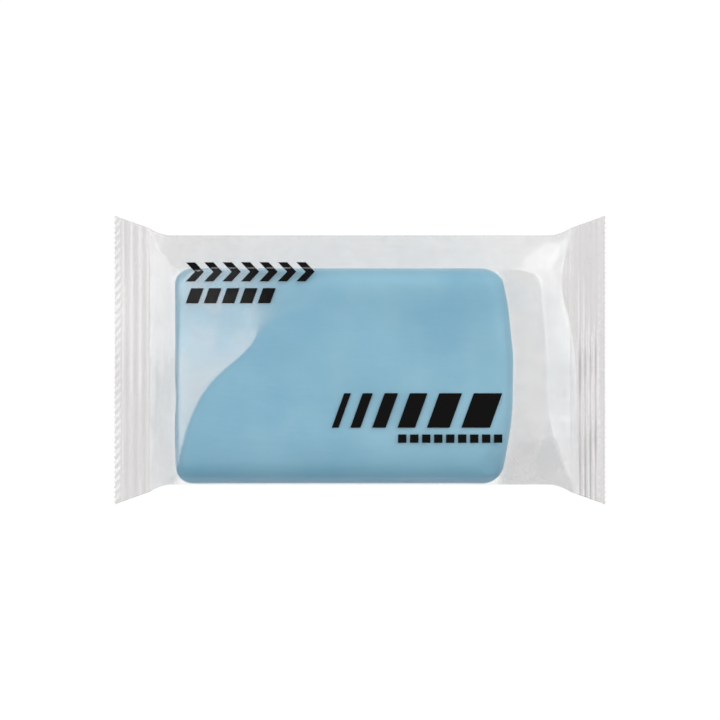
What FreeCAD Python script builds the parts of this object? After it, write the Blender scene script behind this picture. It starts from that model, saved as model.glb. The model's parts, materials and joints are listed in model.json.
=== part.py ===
"""Detailing clay bar in its clear flow-wrap packet, lying on its back.

A block of kneading clay sits in a tube of clear film. The tube is one web of film, folded round
the block, joined along the back by a fin seal that is folded flat, and closed at each end by a
crimped seal with a zigzag cut edge. Black artwork is printed on the front.

Frame: millimetres, +X along the packet, +Y across it, +Z out of the printed front. The origin is
the middle of the packet's footprint, on the surface that it lies on.
"""

import FreeCAD, Part
import math
import os
import Sketcher

Vector = FreeCAD.Vector

# ---------------------------------------------------------------- driving dimensions, in mm
SIZES = [
    ("bar_length", 81.2, "clay block, along the packet"),
    ("bar_width", 51.6, "clay block, across the packet"),
    ("bar_height", 13.4, "clay block, thickness"),
    ("bar_edge_round", 5.1, "rounding of the block's upper and lower edges"),
    ("flat_corner_extra", 0.7, "block's corners at its flat end, beyond its edges' rounding"),
    ("nose_corner_extra", 0.9, "block's corners at its bulged end, beyond its edges' rounding"),
    ("bar_bulge", 3.4, "how far the block's other end bulges out"),
    ("bar_travel", 7.5, "how far the block can slide in the tube"),
    ("bar_clearance", 0.3, "film to block, above and below"),
    ("side_clearance", 0.2, "film to block, at the side that it lies against"),
    ("side_room", 7.8, "empty width beside the block"),
    ("end_clearance", 0.6, "film to block, at each end of its travel"),
    ("film_gauge", 0.1, "thickness of the film"),
    ("shoulder_length", 5.55, "where the tube closes down to a seal"),
    ("root_flare", 1.8, "how much wider each side is at a seal's root than at the block"),
    ("seal_length", 8.4, "crimped seal, root to cut edge"),
    ("cut_band", 1.9, "flat band along the cut edge"),
    ("left_rib_pitch", 2.1, "crimp ribs of the left seal"),
    ("right_rib_pitch", 1.25, "crimp ribs of the right seal"),
    ("rib_depth", 0.36, "crimp ribs, crest to trough"),
    ("tooth_pitch", 1.5, "zigzag cut edge, tooth to tooth"),
    ("tooth_depth", 0.4, "zigzag cut edge, depth"),
    ("crease_gap", 0.2, "from the crease that a seal bends at to its plies"),
    ("crimp_slit", 0.02, "half the gap left between the plies at a seal's root"),
    ("fin_width", 9.0, "fin seal along the back"),
    ("fin_gap", 0.05, "folded fin to the back film"),
    ("ink_thickness", 0.03, "printed ink"),
    ("title_inset", 6.6, "artwork, top of the chevrons to the tube's edge"),
    ("title_margin", 2.8, "artwork, left of the chevrons to the clay block's end"),
    ("chevron_height", 4.6, "artwork, row of chevrons"),
    ("chevron_pitch", 4.4, "artwork, chevron to chevron"),
    ("chevron_stroke", 2.2, "artwork, chevron thickness along the row"),
    ("block_width", 3.0, "artwork, slanted blocks under the chevrons"),
    ("block_height", 3.6, "artwork, slanted blocks under the chevrons"),
    ("block_pitch", 4.3, "artwork, block to block"),
    ("row_gap", 1.6, "artwork, from a row to the row under it"),
    ("mark_inset", 13.8, "artwork, foot of the stripes to the tube's edge"),
    ("mark_margin", 3.0, "artwork, right of the stripes to the clay block's end"),
    ("stripe_height", 8.2, "artwork, slanted stripes"),
    ("stripe_gap", 2.8, "artwork, between stripes"),
    ("slant", 0.36, "artwork, sideways lean of a slanted edge for each unit of height"),
    ("square_side", 2.0, "artwork, small squares under the stripes"),
    ("square_pitch", 2.85, "artwork, square to square"),
]

# Shoulder stations, from a seal's root at 0 to the full tube at 1.
STATIONS = (0.0, 0.15, 0.35, 0.6, 0.8, 1.0)
CHEVRONS = 7
BLOCKS = 5
STRIPE_WIDTHS = (1.6, 2.4, 3.2, 4.2, 5.4, 6.8)
SQUARES = 9
MARGIN = 2.0  # how far a cutting box or a blank overshoots what it cuts

doc = FreeCAD.newDocument("clay_bar_packet")
sheet = doc.addObject("Spreadsheet::Sheet", "dims")
for row, (alias, value, note) in enumerate(SIZES, start=1):
    sheet.set(f"A{row}", note)
    sheet.set(f"B{row}", str(value))
    sheet.setAlias(f"B{row}", alias)
doc.recompute()


def size(alias):
    """A driving dimension, from the sheet."""
    return float(sheet.get(alias))


# ---------------------------------------------------------------- sizes that follow from them
derived = doc.addObject("App::VarSet", "derived")


def derive(name, expression):
    derived.addProperty("App::PropertyFloat", name)
    derived.setExpression(name, expression)


derive("tube_height", "dims.bar_height + 2 * dims.bar_clearance + 2 * dims.film_gauge")
derive("tube_bottom", "2 * dims.film_gauge + dims.fin_gap")
derive("mid_height", "derived.tube_bottom + derived.tube_height / 2")
derive("front_height", "derived.tube_bottom + derived.tube_height")
derive(
    "tube_width",
    "dims.bar_width + dims.side_room + dims.side_clearance + 2 * dims.film_gauge",
)
# The film hugs the block's rounded edge, so it turns about the same centre.
derive("corner_round", "dims.bar_edge_round + dims.side_clearance + dims.film_gauge")
# The web has one width, so the tube's girth is the same where it is round the block and where
# it is pressed flat.
derive(
    "flat_width",
    "derived.tube_width + derived.tube_height - (4 - pi) * derived.corner_round",
)
derive("root_width", "derived.tube_width + 2 * dims.root_flare")
derive(
    "root_x",
    "(dims.bar_length + dims.bar_travel) / 2 + dims.end_clearance + dims.film_gauge"
    " + dims.shoulder_length",
)
derive("end_x", "derived.root_x + dims.seal_length")
derive("bar_x", "-dims.bar_travel / 2")
derive("bar_y", "-(dims.side_room - dims.side_clearance) / 2")
derive("bar_bottom", "derived.tube_bottom + dims.film_gauge + dims.bar_clearance")
derive("cavity_half", "derived.tube_height / 2 - dims.film_gauge")
doc.recompute()


# ---------------------------------------------------------------- small helpers
def bind(thing, **expressions):
    """Binds properties of a document object to expressions."""
    for name, expression in expressions.items():
        thing.setExpression(name.replace("__", "."), expression)


def made(label, shape):
    """A sub-part whose shape is made with Part's own functions."""
    part = doc.addObject("Part::Feature", label)
    part.Label = label
    part.Shape = shape
    return part


def joined(points):
    """A closed face through points."""
    return Part.Face(Part.makePolygon(points + points[:1]))


def axis_plane(body, role):
    return next(f for f in body.Origin.OriginFeatures if f.Role == role)


# ---------------------------------------------------------------- the clay block
def clay_bar():
    body = doc.addObject("PartDesign::Body", "clay_bar")
    body.Label = "clay_bar"
    bind(
        body,
        Placement__Base__x="derived.bar_x",
        Placement__Base__y="derived.bar_y",
        Placement__Base__z="derived.bar_bottom",
    )
    outline = body.newObject("Sketcher::SketchObject", "bar_outline")
    outline.AttachmentSupport = [(axis_plane(body, "XY_Plane"), "")]
    outline.MapMode = "FlatFace"

    flat_x = -size("bar_length") / 2
    nose_x = size("bar_length") / 2 - size("bar_bulge")
    half = size("bar_width") / 2
    bulge = size("bar_bulge")
    radius = (half**2 + bulge**2) / (2 * bulge)
    centre = Vector(size("bar_length") / 2 - radius, 0, 0)
    swing = math.atan2(half, nose_x - centre.x)
    corners = [
        Vector(flat_x, half, 0),
        Vector(flat_x, -half, 0),
        Vector(nose_x, -half, 0),
        Vector(nose_x, half, 0),
    ]
    flat_end = outline.addGeometry(Part.LineSegment(corners[0], corners[1]))
    lower = outline.addGeometry(Part.LineSegment(corners[1], corners[2]))
    upper = outline.addGeometry(Part.LineSegment(corners[3], corners[0]))
    circle = Part.Circle(centre, Vector(0, 0, 1), radius)
    nose = outline.addGeometry(Part.ArcOfCircle(circle, -swing, swing))
    for constraint in (
        ("Coincident", flat_end, 2, lower, 1),
        ("Coincident", lower, 2, nose, 1),
        ("Coincident", nose, 2, upper, 1),
        ("Coincident", upper, 2, flat_end, 1),
        ("Horizontal", lower),
        ("Symmetric", flat_end, 1, flat_end, 2, -1),
        ("Symmetric", nose, 1, nose, 2, -1),
    ):
        outline.addConstraint(Sketcher.Constraint(*constraint))
    for name, constraint, expression in (
        ("flat_end_x", ("DistanceX", flat_end, 1, -1, 1, -flat_x), "dims.bar_length / 2"),
        ("width", ("DistanceY", flat_end, 2, flat_end, 1, 2 * half), "dims.bar_width"),
        (
            "side",
            ("DistanceX", lower, 1, lower, 2, nose_x - flat_x),
            "dims.bar_length - dims.bar_bulge",
        ),
        (
            "nose_radius",
            ("Radius", nose, radius),
            "(dims.bar_width ^ 2 / 4 + dims.bar_bulge ^ 2) / (2 * dims.bar_bulge)",
        ),
    ):
        at = outline.addConstraint(Sketcher.Constraint(*constraint))
        outline.renameConstraint(at, name)
        outline.setExpression(f"Constraints.{name}", expression)

    block = body.newObject("PartDesign::Pad", "bar_block")
    block.Profile = outline
    bind(block, Length="dims.bar_height")
    doc.recompute()

    def upright(shape, at_nose):
        """Names of the block's upright edges at one end."""
        found = []
        for number, edge in enumerate(shape.Edges, start=1):
            ends = [v.Point for v in edge.Vertexes]
            if len(ends) == 2 and abs(ends[0].z - ends[1].z) > size("bar_height") / 2:
                if (edge.CenterOfMass.x > 0) == at_nose:
                    found.append(f"Edge{number}")
        return found

    def rounded(name, base, edges, expression):
        fillet = body.newObject("PartDesign::Fillet", name)
        fillet.Base = (base, edges)
        bind(fillet, Radius=expression)
        doc.recompute()
        return fillet

    for name, at_nose in (("flat_corner", False), ("nose_corner", True)):
        radius = f"dims.bar_edge_round + dims.{name}_extra"
        block = rounded(f"{name}s", block, upright(block.Shape, at_nose), radius)
    level = [
        f"Face{number}"
        for number, face in enumerate(block.Shape.Faces, start=1)
        if abs(face.normalAt(0, 0).z) > 0.99
    ]
    body.Tip = rounded("soft_edges", block, level, "dims.bar_edge_round")
    return body


# ---------------------------------------------------------------- the film tube
def rise(station):
    """Share of the full height that the shoulder has reached at a station."""
    return math.sin(math.radians(90 * station))


def spread(station):
    """Share of the root's flare that is left at a station."""
    return (1 - station) ** 2


def cavity_half_height(station):
    return f"(dims.crimp_slit + {rise(station):.5f} * (derived.cavity_half - dims.crimp_slit))"


def station_x(station):
    return f"(derived.root_x - {station} * dims.shoulder_length)"


def section(name, side, station, inside):
    """Sketch of the tube's cross-section at a station: a rectangle with rounded corners.

    side is -1 at the left end and 1 at the right one. inside is True for the cavity, which is
    one film gauge smaller all round and one gauge nearer the middle.
    """
    gauge = "0" if inside else "dims.film_gauge"
    inner_radius = (
        f"{cavity_half_height(station)} * (derived.corner_round - dims.film_gauge)"
        " / derived.cavity_half"
    )
    tall = f"2 * ({cavity_half_height(station)} + {gauge})"
    wide = (
        f"derived.tube_width + 2 * dims.root_flare * {spread(station):.5f}"
        f" - 2 * dims.film_gauge + 2 * {gauge}"
    )
    radius = f"{inner_radius} + {gauge}"
    place = f"{side} * ({station_x(station)} - dims.film_gauge + {gauge})"

    for key, expression in (("tall", tall), ("wide", wide), ("radius", radius)):
        derive(f"{name}_{key}", expression)
    doc.recompute()
    high = getattr(derived, f"{name}_tall") / 2
    half = getattr(derived, f"{name}_wide") / 2
    corner = getattr(derived, f"{name}_radius")

    sketch = doc.addObject("Sketcher::SketchObject", name)
    sketch.Placement = FreeCAD.Placement(Vector(), FreeCAD.Rotation(0.5, 0.5, 0.5, 0.5))
    bind(sketch, Placement__Base__x=place, Placement__Base__z="derived.mid_height")
    straight_y = half - corner
    straight_z = high - corner
    lines = [
        ((-straight_y, high), (straight_y, high)),
        ((half, straight_z), (half, -straight_z)),
        ((straight_y, -high), (-straight_y, -high)),
        ((-half, -straight_z), (-half, straight_z)),
    ]
    for start, end in lines:
        sketch.addGeometry(Part.LineSegment(Vector(*start, 0), Vector(*end, 0)))
    turns = [(1, 1, 0), (1, -1, 270), (-1, -1, 180), (-1, 1, 90)]
    for y, z, angle in turns:
        circle = Part.Circle(Vector(y * straight_y, z * straight_z, 0), Vector(0, 0, 1), corner)
        start = math.radians(angle)
        sketch.addGeometry(Part.ArcOfCircle(circle, start, start + math.pi / 2))
    for number in range(4):
        following = (number + 1) % 4
        arc = 4 + number
        sketch.addConstraint(Sketcher.Constraint("Tangent", number, 2, arc, 2))
        sketch.addConstraint(Sketcher.Constraint("Tangent", arc, 1, following, 1))
    for level, upright in ((0, 1), (2, 3)):
        sketch.addConstraint(Sketcher.Constraint("Horizontal", level))
        sketch.addConstraint(Sketcher.Constraint("Vertical", upright))
    for arc in (5, 6, 7):
        sketch.addConstraint(Sketcher.Constraint("Equal", 4, arc))
    sketch.addConstraint(Sketcher.Constraint("Symmetric", 4, 3, 6, 3, -1, 1))
    for key, constraint in (
        ("tall", ("DistanceY", 2, 1, 0, 2, 2 * high)),
        ("wide", ("DistanceX", 3, 1, 1, 2, 2 * half)),
        ("radius", ("Radius", 4, corner)),
    ):
        at = sketch.addConstraint(Sketcher.Constraint(*constraint))
        sketch.renameConstraint(at, key)
        sketch.setExpression(f"Constraints.{key}", f"derived.{name}_{key}")
    return sketch


def skin(name, inside):
    """Ruled loft through the stations of both ends."""
    kind = "cavity" if inside else "tube"
    sections = [
        section(f"{kind}_left_{number}", -1, station, inside)
        for number, station in enumerate(STATIONS)
    ]
    sections += [
        section(f"{kind}_right_{number}", 1, station, inside)
        for number, station in reversed(list(enumerate(STATIONS)))
    ]
    loft = doc.addObject("Part::Loft", name)
    loft.Sections = sections
    loft.Solid = True
    loft.Ruled = True
    return loft


def half_space(name, low_y, high_y, low_z, high_z):
    """Box over the whole tube's length, between expressions in Y and Z."""
    box = doc.addObject("Part::Box", name)
    bind(
        box,
        Length=f"2 * (derived.root_x + {MARGIN})",
        Width=f"({high_y}) - ({low_y})",
        Height=f"({high_z}) - ({low_z})",
        Placement__Base__x=f"-(derived.root_x + {MARGIN})",
        Placement__Base__y=low_y,
        Placement__Base__z=low_z,
    )
    return box


def film_panels():
    """The tube, parted into the front panel and the two back panels that meet at the fin."""
    tube = doc.addObject("Part::Cut", "film_tube")
    tube.Base = skin("tube_outside", False)
    tube.Tool = skin("tube_inside", True)
    beyond = f"(derived.flat_width / 2 + {MARGIN})"
    top = f"derived.front_height + {MARGIN}"
    below = f"-{MARGIN}"
    rooms = (
        ("front_film", f"-{beyond}", beyond, "derived.mid_height", top),
        ("back_film_upper", "0", beyond, below, "derived.mid_height"),
        ("back_film_lower", f"-{beyond}", "0", below, "derived.mid_height"),
    )
    panels = []
    for label, *limits in rooms:
        panel = doc.addObject("Part::Common", label)
        panel.Label = label
        panel.Base = tube
        panel.Tool = half_space(f"{label}_room", *limits)
        panels.append(panel)
    return panels


# ---------------------------------------------------------------- the fin seal along the back
def back_line(drop):
    """Expressions for points under the back film's middle line, left to right, drop below it.

    The line starts a crease gap inside the tube's end, on the shoulder's first slope.
    """
    gap = "dims.crease_gap"
    slope = (
        f"({cavity_half_height(STATIONS[1])} - dims.crimp_slit)"
        f" / ({STATIONS[1]} * dims.shoulder_length)"
    )
    half = [(f"(derived.root_x - {gap})", f"dims.crimp_slit + {slope} * {gap}")]
    half += [(station_x(station), cavity_half_height(station)) for station in STATIONS[1:]]
    half = [
        (x, f"derived.mid_height - ({height} + dims.film_gauge + {drop})")
        for x, height in half
    ]
    return [(f"-{x}", z) for x, z in half] + half[::-1]


def profile(body, name, points):
    """Sketch in a body's upright lengthwise plane of the closed outline through points."""
    sketch = body.newObject("Sketcher::SketchObject", name)
    sketch.AttachmentSupport = [(axis_plane(body, "XZ_Plane"), "")]
    sketch.MapMode = "FlatFace"
    places = [Vector(*map(sketch.evalExpression, point), 0) for point in points]
    for number, start in enumerate(places):
        following = (number + 1) % len(places)
        sketch.addGeometry(Part.LineSegment(start, places[following]))
    for number, expressions in enumerate(points):
        before = (number - 1) % len(points)
        sketch.addConstraint(Sketcher.Constraint("Coincident", before, 2, number, 1))
        for kind, value, expression in zip("XY", places[number], expressions):
            at = sketch.addConstraint(
                Sketcher.Constraint(f"Distance{kind}", -1, 1, number, 1, value)
            )
            sketch.setExpression(f"Constraints[{at}]", expression)
    return sketch


def fin_ply(label, outer):
    """One of the fin's two plies: a strip that follows the back film, and the web that joins it."""
    body = doc.addObject("PartDesign::Body", label)
    body.Label = label
    above = "dims.fin_gap" + (" + dims.film_gauge" if outer else "")
    upper = back_line(above)
    lower = back_line(above + " + dims.film_gauge")
    seam = "0 * dims.film_gauge" if outer else "dims.film_gauge"

    strip_outline = profile(body, f"{label}_outline", upper + lower[::-1])
    bind(strip_outline, AttachmentOffset__Base__z=seam)
    strip = body.newObject("PartDesign::Pad", f"{label}_strip")
    strip.Profile = strip_outline
    bind(strip, Length=f"dims.fin_width - ({seam})")

    web_outline = profile(body, f"{label}_web_outline", back_line("0") + lower[::-1])
    web = body.newObject("PartDesign::Pad", f"{label}_web")
    web.Profile = web_outline
    web.Reversed = outer
    bind(web, Length="dims.film_gauge")
    body.Tip = web
    return body


# ---------------------------------------------------------------- the crimped end seals
def rib_line(pitch):
    """Edges of the crimp's wave, from its root to its cut edge, about z = 0."""
    start = derived.root_x + size("crease_gap")
    finish = derived.end_x - size("cut_band")
    count = max(1, int((finish - start) / pitch))
    lead = (finish - start - count * pitch) / 2
    half_depth = size("rib_depth") / 2
    x = start + lead
    edges = [Part.makeLine(Vector(start, 0, 0), Vector(x, 0, 0))] if lead > 0.01 else []
    for rib in range(2 * count):
        crest = half_depth if rib % 2 == 0 else -half_depth
        arc = Part.Arc(
            Vector(x, 0, 0),
            Vector(x + pitch / 4, 0, crest),
            Vector(x + pitch / 2, 0, 0),
        )
        edges.append(arc.toShape())
        x += pitch / 2
    edges.append(Part.makeLine(Vector(x, 0, 0), Vector(derived.end_x + MARGIN, 0, 0)))
    return edges


def seal_outline():
    """Prism over the seal's outline: tapered sides and a zigzag cut edge."""
    root = derived.root_x + size("crease_gap")
    end = derived.end_x
    half = derived.flat_width / 2
    taper = (half - derived.root_width / 2) / size("seal_length")
    root_half = derived.root_width / 2 + taper * size("crease_gap")
    teeth = max(1, round(derived.flat_width / size("tooth_pitch")))
    step = derived.flat_width / teeth
    points = [Vector(root, -root_half, 0), Vector(end - size("tooth_depth"), -half, 0)]
    for tooth in range(teeth):
        points.append(Vector(end, -half + (tooth + 0.5) * step, 0))
        points.append(Vector(end - size("tooth_depth"), -half + (tooth + 1) * step, 0))
    points.append(Vector(root, root_half, 0))
    prism = joined(points).extrude(Vector(0, 0, derived.tube_height))
    prism.translate(Vector(0, 0, derived.tube_bottom))
    return prism


def crimped(label, side, pitch, low, high, low_y, high_y):
    """A crimped layer between two offsets of the wave in Z, cut to the seal's outline."""
    edges = rib_line(pitch)
    bottom = Part.Wire(edges)
    bottom.translate(Vector(0, low_y, derived.mid_height + low))
    top = bottom.copy()
    top.translate(Vector(0, 0, high - low))
    first, last = derived.root_x + size("crease_gap"), derived.end_x + MARGIN
    base = derived.mid_height + low
    closing = [
        Part.makeLine(Vector(x, low_y, base), Vector(x, low_y, base + high - low))
        for x in (first, last)
    ]
    profile = Part.Face(Part.Wire(Part.__sortEdges__(bottom.Edges + top.Edges + closing)))
    layer = profile.extrude(Vector(0, high_y - low_y, 0)).common(seal_outline())
    if side < 0:
        layer = layer.mirror(Vector(), Vector(1, 0, 0))
    return made(label, layer)


def end_seal(name, side):
    gauge = size("film_gauge")
    pitch = size(f"{name}_rib_pitch")
    beyond = derived.flat_width / 2 + MARGIN
    return [
        crimped(f"{name}_seal_front_ply", side, pitch, 0, gauge, -beyond, beyond),
        crimped(f"{name}_seal_back_ply", side, pitch, -gauge, 0, -beyond, beyond),
        crimped(
            f"{name}_fin_tail", side, pitch, -3 * gauge, -gauge, -size("fin_width"), 0
        ),
    ]


# ---------------------------------------------------------------- the printed artwork
def printed(label, faces):
    """Ink on the front film: one thin solid for each shape."""
    prisms = [face.extrude(Vector(0, 0, size("ink_thickness"))) for face in faces]
    ink = Part.makeCompound(prisms)
    ink.translate(Vector(0, 0, derived.front_height))
    return made(label, ink)


def slanted(x, y, width, height, lean):
    """A block standing on y whose sides lean over by lean for each unit of height."""
    shift = lean * height
    return joined([
        Vector(x, y, 0),
        Vector(x + width, y, 0),
        Vector(x + width + shift, y + height, 0),
        Vector(x + shift, y + height, 0),
    ])


def title_print():
    """A row of chevrons over a row of slanted blocks, near the upper left corner."""
    left = derived.bar_x - size("bar_length") / 2 + size("title_margin")
    reach = size("chevron_height") / 2
    middle = derived.tube_width / 2 - size("title_inset") - reach
    stroke = size("chevron_stroke")
    point = size("chevron_pitch") - stroke
    shapes = []
    for number in range(CHEVRONS):
        x = left + number * size("chevron_pitch")
        shapes.append(joined([
            Vector(x, middle - reach, 0),
            Vector(x + stroke, middle - reach, 0),
            Vector(x + stroke + point, middle, 0),
            Vector(x + stroke, middle + reach, 0),
            Vector(x, middle + reach, 0),
            Vector(x + point, middle, 0),
        ]))
    foot = middle - reach - size("row_gap") - size("block_height")
    for number in range(BLOCKS):
        x = left + number * size("block_pitch")
        shapes.append(slanted(x, foot, size("block_width"), size("block_height"), size("slant")))
    return printed("front_title_print", shapes)


def mark_print():
    """Slanted stripes of growing width over a row of small squares, near the lower right."""
    height = size("stripe_height")
    gap = size("stripe_gap")
    right = derived.bar_x + size("bar_length") / 2 - size("mark_margin")
    foot = size("mark_inset") - derived.tube_width / 2
    x = right - size("slant") * height - sum(STRIPE_WIDTHS) - gap * (len(STRIPE_WIDTHS) - 1)
    shapes = []
    for width in STRIPE_WIDTHS:
        shapes.append(slanted(x, foot, width, height, size("slant")))
        x += width + gap
    side = size("square_side")
    for number in range(SQUARES):
        square_x = right - side - number * size("square_pitch")
        shapes.append(slanted(square_x, foot - size("row_gap") - side, side, side, 0))
    return printed("front_mark_print", shapes)


# ---------------------------------------------------------------- the packet
sub_parts = [clay_bar(), *film_panels()]
sub_parts += [fin_ply("back_fin_outer_ply", True), fin_ply("back_fin_inner_ply", False)]
sub_parts += end_seal("left", -1) + end_seal("right", 1)
sub_parts += [title_print(), mark_print()]
doc.recompute()

for thing in doc.Objects:
    if "Invalid" in thing.State or "Error" in thing.State:
        raise RuntimeError(f"{thing.Label} failed: {thing.State}")

os.makedirs("parts", exist_ok=True)
for part in sub_parts:
    shape = part.Shape
    if shape.isNull() or not shape.isValid() or not shape.Solids:
        raise RuntimeError(f"{part.Label} is not a valid solid")
    shape.exportStep(f"parts/{part.Label}.step")
    box = shape.BoundBox
    print(
        f"{part.Label}: {len(shape.Solids)} solid(s), {shape.Volume:.1f} mm3,"
        f" x {box.XMin:.2f}..{box.XMax:.2f}, y {box.YMin:.2f}..{box.YMax:.2f},"
        f" z {box.ZMin:.2f}..{box.ZMax:.2f}"
    )
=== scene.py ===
"""Detailing clay bar in a clear flow-wrap packet, lying on its back.

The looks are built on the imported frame, which gives every size that matters. Lengths are in metres,
+X along the packet, +Y across it and +Z out of the printed front. Each kind of piece has its own
operator and its own settings, and main() calls the operators in order.
"""

import json
import math

import bpy
import numpy as np
from bpy.props import FloatProperty, PointerProperty, StringProperty
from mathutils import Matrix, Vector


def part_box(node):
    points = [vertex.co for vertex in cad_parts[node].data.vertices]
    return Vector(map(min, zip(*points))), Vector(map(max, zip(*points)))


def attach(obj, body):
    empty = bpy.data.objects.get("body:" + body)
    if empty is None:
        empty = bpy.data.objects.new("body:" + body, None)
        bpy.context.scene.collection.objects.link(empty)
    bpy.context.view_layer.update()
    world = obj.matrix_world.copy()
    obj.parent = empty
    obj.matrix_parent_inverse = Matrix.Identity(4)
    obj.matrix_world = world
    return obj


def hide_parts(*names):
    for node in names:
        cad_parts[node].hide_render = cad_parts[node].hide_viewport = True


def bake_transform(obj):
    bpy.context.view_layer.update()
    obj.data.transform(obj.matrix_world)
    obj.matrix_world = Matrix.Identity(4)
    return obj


bl_info = {
    "name": "Clay bar packet",
    "version": (1, 0, 0),
    "blender": (4, 5, 0),
    "location": "3D View > Sidebar > Packet",
    "description": "Builds a block of detailing clay in its clear flow-wrap packet",
    "category": "Object",
}

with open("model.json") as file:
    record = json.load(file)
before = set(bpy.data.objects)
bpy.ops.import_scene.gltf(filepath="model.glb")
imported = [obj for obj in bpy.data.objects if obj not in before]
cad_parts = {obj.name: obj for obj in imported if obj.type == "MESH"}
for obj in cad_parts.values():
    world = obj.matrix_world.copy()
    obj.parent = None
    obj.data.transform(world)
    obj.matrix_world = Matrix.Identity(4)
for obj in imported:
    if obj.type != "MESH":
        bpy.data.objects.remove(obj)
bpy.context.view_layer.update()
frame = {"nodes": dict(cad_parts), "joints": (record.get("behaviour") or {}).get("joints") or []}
MM = 0.001

# ---------------------------------------------------------------- places taken from the frame
FRONT_LOW, FRONT_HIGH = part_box("front_film")
BACK_LOW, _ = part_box("back_film_upper")
BAR_LOW, BAR_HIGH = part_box("clay_bar")
FIN_LOW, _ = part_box("back_fin_outer_ply")
_, SEAL_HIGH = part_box("right_seal_front_ply")
ROOT = FRONT_HIGH.x            # the tube meets a seal at -ROOT and at ROOT
ROOT_HALF = FRONT_HIGH.y       # half the tube's width there
MID = FRONT_LOW.z              # the folds and seals lie in this plane
RISE = FRONT_HIGH.z - MID      # from the folds up to the flat of the front
DEPTH = MID - BACK_LOW.z       # from the folds down to the flat of the back
CUT = SEAL_HIGH.x              # the cut edge
CUT_HALF = SEAL_HIGH.y         # half the width of the flattened web
FIN_WIDTH = -FIN_LOW.y
TRAVEL = next(joint["range_m"][1] for joint in frame["joints"] if joint["name"] == "bar_slide")
CLEARANCE = 0.2 * MM           # between the block's surface and the film's outer face
SIDE_CURVE = 2.3               # 2 would wrap the block's lower side in an ellipse; more is squarer
UPPER_FROM = 6                 # mm across the packet, where its upper and looser part begins
SEAL_SHUT = 1.9                # mm from a seal's root to where its two plies meet
CELLS_PER_TOOTH = 4            # a seal's mesh cells in one tooth of its cut edge


# ---------------------------------------------------------------- settings
def length(name, description, millimetres):
    return FloatProperty(
        name=name, description=description, default=millimetres * MM, unit="LENGTH", precision=5
    )


def tint(name, description, value):
    return StringProperty(name=name, description=description, default=value)


class ClaySettings(bpy.types.PropertyGroup):
    colour: tint("Clay", "Pigmented clay, sRGB hex", "#90C6DC")
    shade: tint("Clay shade", "Clay where the pigment is denser", "#7AB7D1")
    # Painted shade: the colour that darkens the clay along its lower edge and at its ends.
    painted_shade_clay: tint("Dense clay", "Clay along the squeezed edge", "#3F8FAF")
    voxel: length("Voxel", "Cell of the remesh that evens out the block", 0.62)
    undulation: length("Undulation", "Swell and hollow of the pressed faces", 0.16)
    droop: length("Droop", "How far the top falls towards the block's lower side", 1.0)


class FilmSettings(bpy.types.PropertyGroup):
    gauge: length("Gauge", "Thickness of the film", 0.08)
    half_body: length("Half width", "Half the tube's width along the block", 29.9)
    shoulder: length("Shoulder", "Length over which the tube closes to a seal", 5.6)
    nose_bulge: length("Nose bulge", "How far the block's other end bulges out", 3.4)
    side_round: length("Side rounding", "Rounding over the block's lower side", 5.4)
    lift: FloatProperty(
        name="Lift", description="Fall of the film where it has come off the clay", default=0.11
    )
    haze: tint("Haze", "The film's own milkiness, sRGB hex", "#E1DFDE")
    tint: tint("Tint", "What the film does to light that goes through, sRGB hex", "#FDFDFD")


class SealSettings(bpy.types.PropertyGroup):
    left_pitch: length("Left rib pitch", "Crimp ribs of the left seal", 2.1)
    right_pitch: length("Right rib pitch", "Crimp ribs of the right seal", 1.25)
    left_rib: length("Left rib", "Half the depth of the left seal's ribs", 0.026)
    right_rib: length("Right rib", "Half the depth of the right seal's ribs", 0.18)
    tooth_pitch: length("Tooth pitch", "Zigzag of the cut edge", 1.2)
    tooth: length("Tooth", "Depth of the zigzag", 0.3)
    cut_band: length("Cut band", "Knurled band along the cut edge", 1.9)
    # Painted shade: the darker haze colour laid along the crests of the crimp's ribs.
    crease: tint("Crease", "Film creased by the crimp's ribs, sRGB hex", "#9C9B9A")


class ArtworkSettings(bpy.types.PropertyGroup):
    colour: tint("Ink", "Printing ink, sRGB hex", "#0A0A0B")
    drape: length("Drape", "Cell that the printed shapes are cut into to follow the film", 0.6)
    thickness: length("Ink height", "Height of the ink's top over the film", 0.02)


class StageSettings(bpy.types.PropertyGroup):
    floor_size: length("Floor", "Side of the floor", 6000)
    view_width: length("View width", "Width that the camera takes in at the folds' height", 172.8)
    lens: FloatProperty(name="Lens", description="Focal length in mm", default=160)


SETTINGS = {
    "clay": ClaySettings,
    "film": FilmSettings,
    "seals": SealSettings,
    "artwork": ArtworkSettings,
    "stage": StageSettings,
}


def settings(name):
    return getattr(bpy.context.scene, f"packet_{name}")


# ---------------------------------------------------------------- materials
# A Mix node's sockets for two colours and for what they make.
FIRST, SECOND, MIXED = 6, 7, 2
# How milky one skin of film looks where it touches something, and how much more with air behind it.
CLINGING_HAZE, AIR_HAZE = 0.02, 0.2
FILM_BUMP = 0.05 * MM          # height of the film's fine ripples


def linear(colour):
    """An sRGB hex colour as linear RGBA."""
    channels = [int(colour[i:i + 2], 16) / 255 for i in (1, 3, 5)]
    return [c / 12.92 if c <= 0.04045 else ((c + 0.055) / 1.055) ** 2.4 for c in channels] + [1.0]


def node(tree, kind, values=None, **options):
    """Adds a node: values maps an input to a constant or to the socket that feeds it."""
    made = tree.nodes.new(kind)
    for option, value in options.items():
        setattr(made, option, value)
    for key, value in (values or {}).items():
        if isinstance(value, bpy.types.NodeSocket):
            tree.links.new(value, made.inputs[key])
        else:
            made.inputs[key].default_value = value
    return made


def material(name):
    """A new empty node material and its tree."""
    made = bpy.data.materials.new(name)
    made.use_nodes = True
    made.node_tree.nodes.clear()
    return made, made.node_tree


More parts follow.
